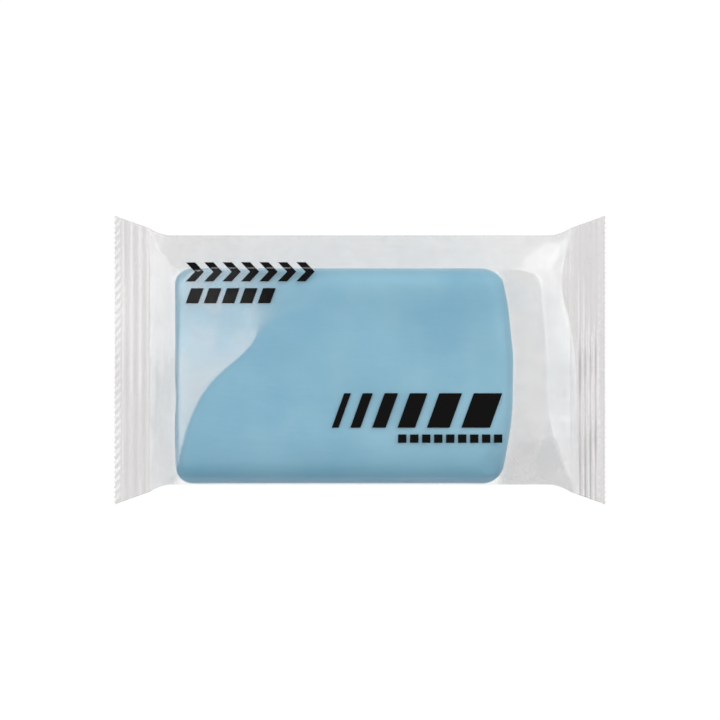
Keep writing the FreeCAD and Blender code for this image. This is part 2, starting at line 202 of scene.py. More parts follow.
def film_shader(
    tree, haze_share, height, bump_depth, roughness=0.22, mirror_share=0.04, clear=None, milk=None
):
    """Polypropylene film: mostly clear, a little milky, with a clean gloss.

    haze_share is how much of each skin looks milky, height is the height of its fine texture, and
    clear is the hex colour of what goes straight through and milk the haze's colour, if they aren't
    the film's usual ones.
    """
    film = settings("film")
    bump = node(tree, "ShaderNodeBump", {"Height": height, "Distance": bump_depth, "Strength": 1.0})
    through = node(tree, "ShaderNodeBsdfTransparent", {"Color": linear(clear or film.tint)})
    milky = node(tree, "ShaderNodeBsdfPrincipled", {
        "Base Color": milk or linear(film.haze),
        "Roughness": 0.55,
        "Normal": bump.outputs["Normal"],
    })
    body = node(tree, "ShaderNodeMixShader", {
        0: haze_share, 1: through.outputs[0], 2: milky.outputs[0],
    })
    # Schlick's rise of the mirror share, the same from both sides of a thin film. The film is too
    # uneven to mirror everything at a grazing angle, so it rises by less than the full share.
    steepness, rise = 5.0, 0.3
    facing = node(tree, "ShaderNodeLayerWeight", {"Blend": 0.5, "Normal": bump.outputs["Normal"]})
    grazing = node(tree, "ShaderNodeMath", {
        0: facing.outputs["Facing"], 1: steepness,
    }, operation="POWER")
    mirror = node(tree, "ShaderNodeMath", {
        0: grazing.outputs[0], 1: rise, 2: mirror_share,
    }, operation="MULTIPLY_ADD")
    gloss = node(tree, "ShaderNodeBsdfGlossy", {
        "Color": (1, 1, 1, 1),
        "Roughness": roughness,
        "Normal": bump.outputs["Normal"],
    })
    both = node(tree, "ShaderNodeMixShader", {
        0: mirror.outputs[0], 1: body.outputs[0], 2: gloss.outputs[0],
    })
    node(tree, "ShaderNodeOutputMaterial", {"Surface": both.outputs[0]})


def clear_film():
    """Cast polypropylene film, blown thin: fine ripples, and milky wherever air is behind it."""
    made, tree = material("cast_polypropylene_film")
    place = node(tree, "ShaderNodeTexCoord").outputs["Object"]
    # Ripples of 6 mm, and a finer and much flatter orange-peel of 0.8 mm.
    peel_height = 0.015
    ripples = node(tree, "ShaderNodeTexNoise", {"Vector": place, "Scale": 0.16 / MM, "Detail": 3.0})
    peel = node(tree, "ShaderNodeTexNoise", {"Vector": place, "Scale": 1.2 / MM, "Detail": 1.0})
    height = node(tree, "ShaderNodeMath", {
        0: peel.outputs["Fac"], 1: peel_height, 2: ripples.outputs["Fac"],
    }, operation="MULTIPLY_ADD")
    air = node(tree, "ShaderNodeAttribute", attribute_name="air")
    # Cloudy patches of 8 mm, where the film has let go of the clay a little more or less.
    cloud = node(tree, "ShaderNodeTexNoise", {"Vector": place, "Scale": 0.12 / MM, "Detail": 3.0})
    uneven = node(tree, "ShaderNodeMapRange", {
        "Value": cloud.outputs["Fac"],
        "From Min": 0.3, "From Max": 0.7, "To Min": 0.82, "To Max": 1.18,
    })
    haze = node(tree, "ShaderNodeMath", {
        0: air.outputs["Fac"], 1: AIR_HAZE, 2: CLINGING_HAZE,
    }, operation="MULTIPLY_ADD")
    share_of_haze = node(tree, "ShaderNodeMath", {
        0: haze.outputs[0], 1: uneven.outputs[0],
    }, operation="MULTIPLY")
    film_shader(tree, share_of_haze.outputs[0], height.outputs[0], FILM_BUMP)
    return made


def welded_film():
    """The same film welded to itself under heat, which leaves it clearer than a single skin."""
    made, tree = material("welded_polypropylene_film")
    place = node(tree, "ShaderNodeTexCoord").outputs["Object"]
    # Dull marks of 1 mm from the heated wheels.
    marks = node(tree, "ShaderNodeTexNoise", {"Vector": place, "Scale": 1 / MM, "Detail": 2.0})
    haze = node(tree, "ShaderNodeMapRange", {
        "Value": marks.outputs["Fac"], "To Min": 0.0, "To Max": 0.012,
    })
    film_shader(
        tree, haze.outputs[0], marks.outputs["Fac"], 0.01 * MM,
        roughness=0.2, mirror_share=0.008, clear="#FFFFFF",
    )
    return made


def crimped_film():
    """The same film, heat-crimped: streaked along the ribs and knurled along the cut edge."""
    made, tree = material("crimped_polypropylene_film")
    place = node(tree, "ShaderNodeTexCoord").outputs["Object"]
    # Diagonal knurl, 1.4 mm from line to line, coarser than a real jaw's so that it shows. A wave
    # texture turns through 20 radians in each unit of its scale.
    knurl_pitch = 1.4 * MM
    turned = node(tree, "ShaderNodeMapping", {
        "Vector": place, "Rotation": (0, 0, math.radians(40)),
    })
    knurl = node(tree, "ShaderNodeTexWave", {
        "Vector": turned.outputs[0], "Scale": math.tau / (20 * knurl_pitch), "Distortion": 0.6,
    })
    # Ripples of 6 mm, as on the rest of the film.
    grain = node(tree, "ShaderNodeTexNoise", {"Vector": place, "Scale": 0.16 / MM, "Detail": 3.0})
    band = node(tree, "ShaderNodeAttribute", attribute_name="band")
    height = node(tree, "ShaderNodeMath", {
        0: knurl.outputs["Fac"], 1: band.outputs["Fac"], 2: grain.outputs["Fac"],
    }, operation="MULTIPLY_ADD")
    # Streaks along the ribs, 1.1 mm by 25 mm, where the jaws pressed the two skins into one.
    streak_place = node(tree, "ShaderNodeMapping", {
        "Vector": place, "Scale": (0.9 / MM, 0.04 / MM, 0.04 / MM),
    })
    streaks = node(tree, "ShaderNodeTexNoise", {
        "Vector": streak_place.outputs[0], "Scale": 1.0, "Detail": 2.0,
    })
    streak = node(tree, "ShaderNodeMapRange", {
        "Value": streaks.outputs["Fac"],
        "From Min": 0.3, "From Max": 0.7, "To Min": -0.015, "To Max": 0.015,
    })
    crimp = node(tree, "ShaderNodeAttribute", attribute_name="crimp")
    air = node(tree, "ShaderNodeAttribute", attribute_name="air")
    plain = node(tree, "ShaderNodeMath", {
        0: air.outputs["Fac"], 1: AIR_HAZE, 2: CLINGING_HAZE,
    }, operation="MULTIPLY_ADD")
    haze = node(tree, "ShaderNodeMath", {
        0: streak.outputs[0], 1: crimp.outputs["Fac"], 2: plain.outputs[0],
    }, operation="MULTIPLY_ADD")
    # Painted shade: the haze colour is darkened along each rib's crest, where the "crease" attribute
    # rises, standing in for the dark reflections of the crimp's ribs.
    crease = node(tree, "ShaderNodeAttribute", attribute_name="crease")
    milk = node(tree, "ShaderNodeMix", {
        "Factor": crease.outputs["Fac"],
        FIRST: linear(settings("film").haze),
        SECOND: linear(settings("seals").crease),
    }, data_type="RGBA")
    film_shader(tree, haze.outputs[0], height.outputs[0], FILM_BUMP, milk=milk.outputs[MIXED])
    return made


def detailing_clay():
    """Kneading clay, extruded and cut: matte and waxy, with drifts of pigment and fine grit."""
    clay = settings("clay")
    made, tree = material("extruded_detailing_clay")
    place = node(tree, "ShaderNodeTexCoord").outputs["Object"]
    # Drifts of pigment 30 mm across, and clouds of 8 mm inside them.
    drift = node(tree, "ShaderNodeTexNoise", {
        "Vector": place, "Scale": 0.032 / MM, "Detail": 5.0, "Roughness": 0.55,
    })
    colour = node(tree, "ShaderNodeValToRGB", {"Fac": drift.outputs["Fac"]})
    colour.color_ramp.elements[0].position = 0.38
    colour.color_ramp.elements[0].color = linear(clay.shade)
    colour.color_ramp.elements[1].position = 0.62
    colour.color_ramp.elements[1].color = linear(clay.colour)
    # Painted shade, carried in the "pressed" attribute: the clay's colour is darkened along its lower
    # edge and at its ends, standing in for the shade on its rounded sides.
    pressed = node(tree, "ShaderNodeAttribute", attribute_name="pressed")
    painted_shade_clay = node(tree, "ShaderNodeMix", {
        "Factor": pressed.outputs["Fac"],
        FIRST: colour.outputs["Color"],
        SECOND: linear(clay.painted_shade_clay),
    }, data_type="RGBA")
    # Grit of 0.3 mm, and smears left by the knife, 8 mm long and 2.4 mm wide.
    grit_height = 0.12
    grit = node(tree, "ShaderNodeTexNoise", {"Vector": place, "Scale": 3 / MM, "Detail": 1.0})
    smear_place = node(tree, "ShaderNodeMapping", {
        "Vector": place, "Scale": (0.12 / MM, 0.42 / MM, 0.42 / MM),
    })
    smears = node(tree, "ShaderNodeTexNoise", {
        "Vector": smear_place.outputs[0], "Scale": 1.0, "Detail": 4.0,
    })
    height = node(tree, "ShaderNodeMath", {
        0: grit.outputs["Fac"], 1: grit_height, 2: smears.outputs["Fac"],
    }, operation="MULTIPLY_ADD")
    bump = node(tree, "ShaderNodeBump", {"Height": height.outputs[0], "Distance": 0.12 * MM})
    roughness = node(tree, "ShaderNodeMapRange", {
        "Value": smears.outputs["Fac"], "To Min": 0.42, "To Max": 0.62,
    })
    surface = node(tree, "ShaderNodeBsdfPrincipled", {
        "Base Color": painted_shade_clay.outputs[MIXED],
        "Roughness": roughness.outputs[0],
        "IOR": 1.47,
        "Normal": bump.outputs["Normal"],
    })
    node(tree, "ShaderNodeOutputMaterial", {"Surface": surface.outputs[0]})
    return made


def printing_ink():
    """Flexographic ink: dense black, with a soft mottle of 1.4 mm in its gloss."""
    artwork = settings("artwork")
    made, tree = material("flexographic_black_ink")
    place = node(tree, "ShaderNodeTexCoord").outputs["Object"]
    mottle = node(tree, "ShaderNodeTexNoise", {"Vector": place, "Scale": 0.7 / MM, "Detail": 3.0})
    roughness = node(tree, "ShaderNodeMapRange", {
        "Value": mottle.outputs["Fac"], "To Min": 0.12, "To Max": 0.3,
    })
    bump = node(tree, "ShaderNodeBump", {"Height": mottle.outputs["Fac"], "Distance": 0.01 * MM})
    surface = node(tree, "ShaderNodeBsdfPrincipled", {
        "Base Color": linear(artwork.colour),
        "Roughness": roughness.outputs[0],
        "Specular IOR Level": 0.12,
        "Normal": bump.outputs["Normal"],
    })
    node(tree, "ShaderNodeOutputMaterial", {"Surface": surface.outputs[0]})
    return made


def white_sweep():
    """Studio floor: matte white card, lit from below so that it stays white around the packet."""
    made, tree = material("white_studio_card")
    surface = node(tree, "ShaderNodeBsdfPrincipled", {
        "Base Color": linear("#3C3C3C"),
        "Roughness": 0.9,
        "Emission Color": (1, 1, 1, 1),
        "Emission Strength": 0.97,
    })
    node(tree, "ShaderNodeOutputMaterial", {"Surface": surface.outputs[0]})
    return made


# ---------------------------------------------------------------- the film's shape
def ramp(place, start, end):
    """0 at start and 1 at end, both in mm, even in between and level beyond them."""
    return np.clip((place - start * MM) / ((end - start) * MM), 0, 1)


def softened(x, width):
    """max(x, 0) with its corner rounded over about width."""
    return width * np.logaddexp(0, x / width)


def lowest(heights, sharpness):
    """The lowest of several heights, with the creases between them slightly rounded."""
    total = sum(np.maximum(height / RISE, 0.0005) ** -sharpness for height in heights)
    return RISE * total ** (-1 / sharpness)


def rounded_path(points, turns=3, closed=False):
    """A path through given points in mm, with its corners cut off until it is smooth."""
    path = np.array(points) * MM
    for _ in range(turns):
        after = np.roll(path, -1, axis=0)
        cut = np.stack([0.75 * path + 0.25 * after, 0.25 * path + 0.75 * after], 1)
        cut = cut if closed else cut[:-1]
        path = cut.reshape(-1, 2)
    return path


def outside(x, y, path):
    """Distance from a closed path to places outside it, and 0 inside it."""
    nearest = np.full(x.shape, np.inf)
    inside = np.zeros(x.shape, bool)
    for (ax, ay), (bx, by) in zip(path, np.roll(path, -1, axis=0)):
        run, climb = bx - ax, by - ay
        along = np.clip(((x - ax) * run + (y - ay) * climb) / (run * run + climb * climb), 0, 1)
        nearest = np.minimum(nearest, np.hypot(x - ax - along * run, y - ay - along * climb))
        inside ^= ((ay > y) != (by > y)) & (x < run * (y - ay) / (climb or 1) + ax)
    return np.where(inside, 0, nearest)


# The flat top of the packet, in mm: it is open at the lower side, where the film wraps the block.
FLAT_TOP = rounded_path((
    (-43.3, -40), (-43.3, -20), (-43.2, 0), (-43.0, 14), (-42.2, 19.8), (-38, 21.6), (-28, 21.8),
    (0, 21.6), (30, 21.8), (38.5, 21.4), (43.0, 20.2), (43.6, 14), (44.2, 6), (44.9, -3),
    (45.0, -13), (46.8, -20.5), (50.9, -30.9), (54.5, -40),
), closed=True)
FLAT_BACK = rounded_path(((-44.6, -40), (-44.6, 22.5), (44.8, 22.5), (44.8, -40)), closed=True)
# Where the film meets itself at the right end: in the upper half it closes before the seal.
RIGHT_CLOSE = rounded_path((
    (53.2, -36), (52.3, -22), (52.0, -8), (51.8, 2), (50.2, 10), (48.6, 15), (48.2, 20),
    (49.6, 26), (52.4, 36),
))
# Where the film stops touching the clay on its left: an S that runs up to the right.
CONTACT = rounded_path((
    (-44.5, -40), (-43.6, -25), (-42.2, -20), (-40.8, -14.8), (-37.6, -8), (-33.6, -3.2),
    (-27.6, 1.6), (-24.2, 5.8), (-24.2, 11), (-26, 17), (-27, 24), (-27, 40),
))


def half_width(x):
    """Half the tube's width: it flares towards the seals, where the film is pressed flat."""
    film = settings("film")
    inside = np.clip((ROOT - np.abs(x)) / film.shoulder, 0, 1)
    beyond = np.maximum(np.abs(x) - ROOT, 0) / (CUT - ROOT)
    tube = film.half_body + (ROOT_HALF - film.half_body) * (1 - inside) ** 2
    return tube + (CUT_HALF - ROOT_HALF) * beyond


def contact_edge(y):
    """Where the film stops touching the clay on its left."""
    return np.interp(y, CONTACT[:, 1], CONTACT[:, 0])


def lifted(x, y):
    """How far the film has dropped away to the left of the contact's edge."""
    film = settings("film")
    # It lifts off sharply in the lower half and gently in the upper one.
    edge = (0.1 + 4 * ramp(y, UPPER_FROM, UPPER_FROM + 10)) * MM
    return film.lift * softened(contact_edge(y) - x, edge)


def ripples(x, y, seed, size, count=7):
    """Smooth waves in random directions, of about the given size, between about -1 and 1."""
    draw = np.random.default_rng(seed)
    total = np.zeros_like(x)
    for _ in range(count):
        angle, phase = draw.uniform(0, math.tau, 2)
        wave = math.tau / (size * draw.uniform(0.7, 1.6))
        total += np.sin(wave * (x * math.cos(angle) + y * math.sin(angle)) + phase)
    return total / math.sqrt(2 * count)


def gathers(x, y, seed):
    """Small pleats that run out of both seals, narrow ridges that die away along the tube."""
    draw = np.random.default_rng(seed)
    total = np.zeros_like(x)
    for end in (-1, 1):
        for _ in range(13):
            middle = draw.uniform(-0.92, 0.92) * ROOT_HALF
            reach = draw.uniform(2.5, 7) * MM
            width = draw.uniform(0.8, 1.4) * MM
            lean = draw.uniform(-0.25, 0.25)
            inward = ROOT - end * x
            across = y - middle - lean * inward
            total += draw.uniform(-0.16, 0.16) * MM * np.exp(
                -((across / width) ** 2) - (inward / reach) ** 2
            )
    return total


def rib_wave(beyond, pitch):
    """The crimp's wave, from the seal's root outwards; negative values are inside the tube."""
    return -np.sin(math.tau * beyond / pitch)


def shoulder_ribs(x):
    """The left seal's ribs, which carry on into the shoulder and die away there."""
    seals = settings("seals")
    into = np.maximum(x + ROOT, 0)
    reach = 4.2 * MM
    return seals.left_rib * np.exp(-((into / reach) ** 2)) * rib_wave(-into, seals.left_pitch)


def to_right(x, y):
    """How far it is to the place at the right where the film closes; negative past it."""
    return np.interp(y, RIGHT_CLOSE[:, 1], RIGHT_CLOSE[:, 0]) - x


def fall(x, y, flat, crease):
    """1 on the flat, falling evenly from its edge to 0 at the nearest fold or seal."""
    to_fold = np.maximum(half_width(x) - y, 0)
    closing = lowest([to_fold, x + ROOT, to_right(x, y)], sharpness=6)
    past = softened(outside(x, y, flat) - 2 * crease, crease)
    return closing / (past + closing)


def wrapped(x, y):
    """1 over the block, falling round its lower side to 0 at the fold."""
    to_lower = np.clip((y + half_width(x)) / settings("film").side_round, 0, 1)
    return (1 - (1 - to_lower) ** SIDE_CURVE) ** (1 / SIDE_CURVE)


def front_height(x, y):
    """Height of the front film over the plane of the folds."""
    film = settings("film")
    # The flat top drops where it has come off the clay, past the block's right end, and beyond a
    # slanting line that cuts off the lower right corner.
    crease = 0.5 * MM
    corner_slope, past_block_slope = 0.41, 0.25
    corner = 0.7 * (x - 45.0 * MM) - 0.714 * (y + 13.5 * MM)
    top = np.minimum(RISE - lifted(x, y), RISE - corner_slope * softened(corner, crease))
    top = np.minimum(top, RISE - past_block_slope * softened(x - 38.5 * MM, crease))
    height = top * fall(x, y, FLAT_TOP, 0.15 * MM)
    # The lower side wraps round the block.
    height = np.minimum(height, RISE * wrapped(x, y))
    # Pleats and ripples need room under them, and the ripples are weaker against the clay.
    free = ramp(height, 0, 1.5)
    tight = 1 - ramp(RISE - height, 0, 0.6)
    height = height + free * gathers(x, y, 11)
    height = height + free * 0.05 * MM * ripples(x, y, 3, 9 * MM) * (1 - 0.6 * tight)
    # Past the place where it closes the film is nearly flat, with soft pleats.
    pleat_pitch, pleat = 1.6 * MM, 0.05 * MM
    wander = 0.4 * ripples(x, y, 17, 12 * MM)
    pleats = pleat * (1 + np.sin(math.tau * x / pleat_pitch + wander))
    height = height + ramp(-to_right(x, y), 0, 1) * pleats
    highest = RISE + 0.25 * MM
    return np.clip(height, film.gauge, highest) + shoulder_ribs(x)


def back_depth(x, y):
    """Depth of the back film under the plane of the folds."""
    depth = np.minimum(DEPTH * fall(x, y, FLAT_BACK, 0.5 * MM), DEPTH * wrapped(x, y))
    # It is smooth on its flat and where the fin lies on it.
    off_fin = np.clip(np.abs(y + FIN_WIDTH / 2) / FIN_WIDTH - 0.5, 0, 1)
    free = ramp(depth, 0, 1.5) * off_fin * ramp(DEPTH - depth, 0, 1)
    depth = depth + free * (gathers(x, y, 29) + 0.06 * MM * ripples(x, y, 5, 8 * MM))
    return np.clip(depth, settings("film").gauge, DEPTH) - shoulder_ribs(x)


def nose_edge(y):
    """Where the block's bulged end is."""
    film = settings("film")
    middle = (BAR_LOW.y + BAR_HIGH.y) / 2
    return BAR_HIGH.x - film.nose_bulge * ((y - middle) / (BAR_HIGH.y - middle)) ** 2


def air_behind(x, y, front=True):
    """How milky air makes the film: 0 where it clings to the clay, and about 1 where it is off it.

    Only the front has a loose patch at its upper left.
    """
    soft = 0.35 * MM
    off_bar = np.maximum.reduce([
        (BAR_LOW.x + 0.1 * MM - x) / soft,
        (x - nose_edge(y)) / soft,
        (y - BAR_HIGH.y + 0.3 * MM) / soft,
    ])
    upper = ramp(y, UPPER_FROM, UPPER_FROM + 8)
    off_edge = (0.1 + 3.5 * upper) * MM
    let_go = (contact_edge(y) + 1.5 * MM * ripples(x, y, 8, 6 * MM) * upper - x) / off_edge
    # A strip 1.2 mm wide along the block's left end clings to it still.
    beside_strip = (x - BAR_LOW.x - 1.2 * MM) / (0.15 * MM)
    most = np.maximum(off_bar, np.minimum(let_go, beside_strip)) if front else off_bar
    # The loose patch is cloudy towards its upper end and whitest at its foot.
    patch = ramp(contact_edge(y) - x, 0, 2) * (off_bar < 0) * front
    clouds = ramp(y, -2, 4) * (0.65 + 0.8 * ripples(x, y, 31, 8 * MM))
    whiter = 0.45 * ramp(y, 4, -6)
    # Past the block it is clearest where it is stretched over the right end, and dullest on the
    # flat of the lower right corner.
    off_flat = ramp(outside(x, y, FLAT_TOP), 0, 0.5)
    stretched = 0.34 * ramp(x, 8, 33) * off_flat * (to_right(x, y) > 0)
    corner = 0.5 * ramp(x, 30, 36) * ramp(y, -8, -22) * (1 - off_flat)
    uneven = patch * (whiter - 0.12 - 0.5 * np.clip(clouds, -0.4, 1)) - stretched + corner
    return (1 + uneven) / (1 + np.exp(-np.clip(most, -30, 30)))


# ---------------------------------------------------------------- making pieces
def deselect():
    bpy.ops.object.select_all(action="DESELECT")


def make_active(piece):
    deselect()
    piece.select_set(True)
    bpy.context.view_layer.objects.active = piece


def apply_modifier(piece, kind, **options):
    """Adds a modifier, sets it and applies it."""
    make_active(piece)
    added = piece.modifiers.new(kind.lower(), kind)
    for option, value in options.items():
        setattr(added, option, value)
    bpy.ops.object.modifier_apply(modifier=added.name)


def spread(start, end, step_at):
    """Places from start to end whose spacing follows step_at(place)."""
    samples = 4000
    fine = np.linspace(start, end, samples)
    turns = np.concatenate([[0], np.cumsum(np.diff(fine) / step_at((fine[1:] + fine[:-1]) / 2))])
    return np.interp(np.linspace(0, turns[-1], int(turns[-1]) + 1), turns, fine)


def sheet_piece(name, x, y, z, attributes, thickness, facing):
    """A sheet of film through a grid of points, given its thickness inwards.

    The grid's first index runs along X and its second across. facing is 1 for a sheet whose outer
    face looks up, and -1 for one whose outer face looks down.
    """
    rows, columns = x.shape
    points = np.stack([x, y, z], -1).reshape(-1, 3)
    index = np.arange(rows * columns).reshape(rows, columns)
    corners = [index[:-1, :-1], index[1:, :-1], index[1:, 1:], index[:-1, 1:]]
    if facing < 0:
        corners.reverse()
    faces = np.stack([c.ravel() for c in corners], -1)
    mesh = bpy.data.meshes.new(name)
    mesh.from_pydata(points.tolist(), [], faces.tolist())
    for attribute, values in attributes.items():
        layer = mesh.attributes.new(attribute, "FLOAT", "POINT")
        layer.data.foreach_set("value", np.asarray(values, np.float32).ravel())
    piece = bpy.data.objects.new(name, mesh)
    bpy.context.scene.collection.objects.link(piece)
    apply_modifier(piece, "SOLIDIFY", thickness=thickness, offset=-1, use_even_offset=True)
    # The cut across a panel's end stands upright, so that the next sheet meets it without a gap.
    places = vertices(piece)
    moved_by_thickness = 0.07 * MM
    near_root = np.abs(np.abs(places[:, 0]) - ROOT) < moved_by_thickness
    places[near_root, 0] = np.sign(places[near_root, 0]) * ROOT
    move_vertices(piece, places)
    piece.data.shade_smooth()
    return piece


def finished(piece, made, body, replaced):
    """Gives a piece its material, the body it rides on and the nodes it stands for."""
    piece.data.materials.clear()
    piece.data.materials.append(made)
    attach(piece, body)
    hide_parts(*replaced)


def copy_of_node(name, source):
    """A copy of a CAD node's mesh as a new piece, with its loose triangles merged."""
    mesh = frame["nodes"][source].data.copy()
    mesh.name = name
    piece = bpy.data.objects.new(name, mesh)
    bpy.context.scene.collection.objects.link(piece)
    make_active(piece)
    bpy.ops.object.mode_set(mode="EDIT")
    bpy.ops.mesh.select_all(action="SELECT")
    bpy.ops.mesh.remove_doubles(threshold=0.002 * MM)
    bpy.ops.object.mode_set(mode="OBJECT")
    return piece


def vertices(piece):
    places = np.empty(len(piece.data.vertices) * 3)
    piece.data.vertices.foreach_get("co", places)
    return places.reshape(-1, 3)


def move_vertices(piece, places):
    piece.data.vertices.foreach_set("co", places.ravel())
    piece.data.update()


# ---------------------------------------------------------------- operators
class ClayBlock(bpy.types.Operator):
    """Builds the clay block: the CAD block, evened out and pressed into a soft lump"""

    bl_idname = "packet.clay_block"
    bl_label = "Clay block"

    def execute(self, context):
        clay = settings("clay")
        piece = copy_of_node("clay_block", "clay_bar")
        apply_modifier(piece, "REMESH", mode="VOXEL", voxel_size=clay.voxel)
        apply_modifier(piece, "SMOOTH", factor=0.5, iterations=4)
        places = vertices(piece)
        x, y, z = places.T
        up = np.clip((z - MID) / (BAR_HIGH.z - MID), -1, 1)
        top = np.maximum(up, 0)
        z += top * (0.1 * MM - 1.06 * lifted(x, y))
        z += up * clay.undulation * (ripples(x, y, 21, 22 * MM) - 1)
        z -= top * clay.droop * ramp(y, -17, -29) ** 2
        # The corners stand out further than the plain block's: place, and push in mm.
        reach = 4.5 * MM
        for corner_x, corner_y, push in (
            (BAR_LOW.x, BAR_LOW.y, 0.5), (BAR_LOW.x, BAR_HIGH.y, 0.6),
            (nose_edge(BAR_LOW.y), BAR_LOW.y, 0.2), (nose_edge(BAR_HIGH.y), BAR_HIGH.y, 0.1),
        ):
            near = np.exp(-((x - corner_x) ** 2 + (y - corner_y) ** 2) / reach ** 2)
            x += math.copysign(push * MM, corner_x) * near
            y += math.copysign(push * MM, corner_y - BAR_LOW.y - 1 * MM) * near
        x += 0.25 * MM * ripples(x, y, 22, 16 * MM) * (np.abs(x) > 30 * MM)
        edge = 0.05 * MM
        places[:, 0] = np.clip(x, BAR_LOW.x + edge, nose_edge(y) - edge)
        places[:, 1] = np.clip(y, BAR_LOW.y + edge, BAR_HIGH.y - edge)
        # It stays inside the film all the way along its slide.
        places_tried = 9
        for slid in np.linspace(0, TRAVEL, places_tried):
            above = np.minimum(z, MID + np.maximum(front_height(x + slid, y) - CLEARANCE, 0))
            below = np.maximum(z, MID - np.maximum(back_depth(x + slid, y) - CLEARANCE, 0))
            z[:] = np.where(z > MID, above, below)
        move_vertices(piece, places)
        # Painted shade for the "pressed" attribute: darkest along the block's lower edge and at its
        # left end, less at its right end, and least in its upper half.
        painted_shade = np.maximum.reduce([
            0.7 * ramp(y, -16, -29.5) ** 1.6 + 0.3 * ramp(y, -28, -29.2),
            0.86 * ramp(x - BAR_LOW.x, 1.6, 0.6),
            0.36 * (1 - ramp(nose_edge(y) - x, 0, 2.2)),
            0.12 * ramp(y, UPPER_FROM, UPPER_FROM + 8),
        ])
        pressed = piece.data.attributes.new("pressed", "FLOAT", "POINT")
        pressed.data.foreach_set("value", np.clip(painted_shade, 0, 1).astype(np.float32))
        piece.data.shade_smooth()
        finished(piece, detailing_clay(), "bar", ["clay_bar"])
        return {"FINISHED"}


class FilmTube(bpy.types.Operator):
    """Builds the front and back panels of the film tube"""

    bl_idname = "packet.film_tube"
    bl_label = "Film tube"

    def execute(self, context):
        film = settings("film")
        made = clear_film()

        coarse, fine = 0.7 * MM, 0.31 * MM

        def front_step(x):
            """The front's mesh is coarse where the film lies smooth on the block."""
            return np.where((x > -22 * MM) & (x < 36 * MM), coarse, fine)

        # name, spacing of the mesh along the tube, points across it, height, facing, nodes
        for name, step, across, surface, facing, replaced in (
            ("front_panel", front_step, 195, front_height, 1, ["front_film"]),
            (
                "back_panel", lambda x: coarse, 110, lambda x, y: -back_depth(x, y), -1,
                ["back_film_upper", "back_film_lower"],
            ),
        ):
            along = spread(-ROOT, ROOT, step)
            sweep = np.cos(np.linspace(math.pi, 0, across))
            x, s = np.meshgrid(along, sweep, indexing="ij")
            y = s * half_width(x)
            z = surface(x, y)
            z[:, [0, -1]] = shoulder_ribs(x[:, [0, -1]])
            air = air_behind(x, y, facing > 0)
            piece = sheet_piece(name, x, y, MID + z, {"air": air}, film.gauge, facing)
            finished(piece, made, "wrapper", replaced)
        return {"FINISHED"}


class EndSeals(bpy.types.Operator):
    """Builds the crimped plies of both end seals and the fin's tails in them"""

    bl_idname = "packet.end_seals"
    bl_label = "End seals"

    def execute(self, context):
        crimped, welded = crimped_film(), welded_film()
        film, seals = settings("film"), settings("seals")
        seal = CUT - ROOT
        teeth = round(2 * CUT_HALF / seals.tooth_pitch)
        # end, side, the ribs' pitch and depth, how many mm past the root they start, and how much
        # the crimp dulls the film, its ribs whiten it, and painted shade darkens their crests
        for end, side, pitch, rib, start, dulling, whitening, painted_crest_shade in (
            ("left", -1, seals.left_pitch, seals.left_rib, -1, 0.3, 0.08, 0.1),
            ("right", 1, seals.right_pitch, seals.right_rib, 1.2, 0.25, 0.8, 0.8),
        ):
            # part, how high its outer face is over the folds' plane, its two edges as shares of
            # half the width, and facing
            for part, level, low, high, facing in (
                ("seal_front_ply", film.gauge, -1, 1, 1),
                ("seal_back_ply", -film.gauge, -1, 1, -1),
                ("fin_tail", -3 * film.gauge, -FIN_WIDTH / CUT_HALF, 0, -1),
            ):
                # s is the distance from the root, and across runs from -1 to 1 over the width.
                cells = round(CELLS_PER_TOOTH * teeth * (high - low) / 2)
                beyond = spread(0, seal, lambda place: 0.14 * MM)
                s, across = np.meshgrid(beyond, np.linspace(low, high, cells + 1), indexing="ij")
                y = across * (ROOT_HALF + (CUT_HALF - ROOT_HALF) * s / seal)
                into_band = ramp(s - (seal - seals.cut_band), 0, 0.4)
                strength = 0.8 + 0.3 * ripples(s * 3, y, 40 + side, 18 * MM)
                wave = rib * strength * rib_wave(s, pitch) * (1 - into_band)
                wave *= ramp(s, start, start + 0.4)
                if side > 0:
                    # The right seal's ribs fade out in its upper half.
                    wave *= 0.2 + 0.8 / (1 + np.exp((y - UPPER_FROM * MM) / (3 * MM)))
                bend = 0.25 * MM * ripples(s, y, 50 + side, 30 * MM) * (s / seal) ** 2
                tooth = np.abs((across * teeth / 2 + 0.5 * (teeth % 2)) % 1 - 0.5) * 2
                x = side * (ROOT + s - seals.tooth * tooth * (s / seal) ** 12)
                ridge = whitening * np.clip(wave / rib, -0.3, 1) ** 2 * np.sign(wave)
                whiteness = air_behind(x, y) if part == "seal_front_ply" else 1
                whiteness = whiteness + dulling * ramp(s, 0, SEAL_SHUT) * (1 - 0.4 * into_band)
                opening = front_height(x, y) if part == "seal_front_ply" else -back_depth(x, y)
                opening -= math.copysign(film.gauge, level)
                opening *= ramp(s, SEAL_SHUT, SEAL_SHUT - 0.4)
                z = MID + level + wave + bend + opening
                name = f"{end}_{part}_film"
                # The left seal's grid is turned round, so that it too runs along +X.
                order = slice(None, None, side)
                piece = sheet_piece(
                    name, x[order], y[order], z[order],
                    {
                        "band": into_band[order],
                        "crimp": ramp(s, 0, 1.5)[order],
                        "air": (whiteness + ridge)[order],
                        # The "crease" attribute carries painted shade along the ribs' crests.
                        "crease": (painted_crest_shade * np.clip(wave / rib, 0, 1) ** 1.5)[order],
                    },
                    film.gauge, facing,
                )
                piece.data.materials.append(welded if part == "fin_tail" else crimped)
                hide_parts(f"{end}_{part}")
                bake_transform(piece)
        return {"FINISHED"}


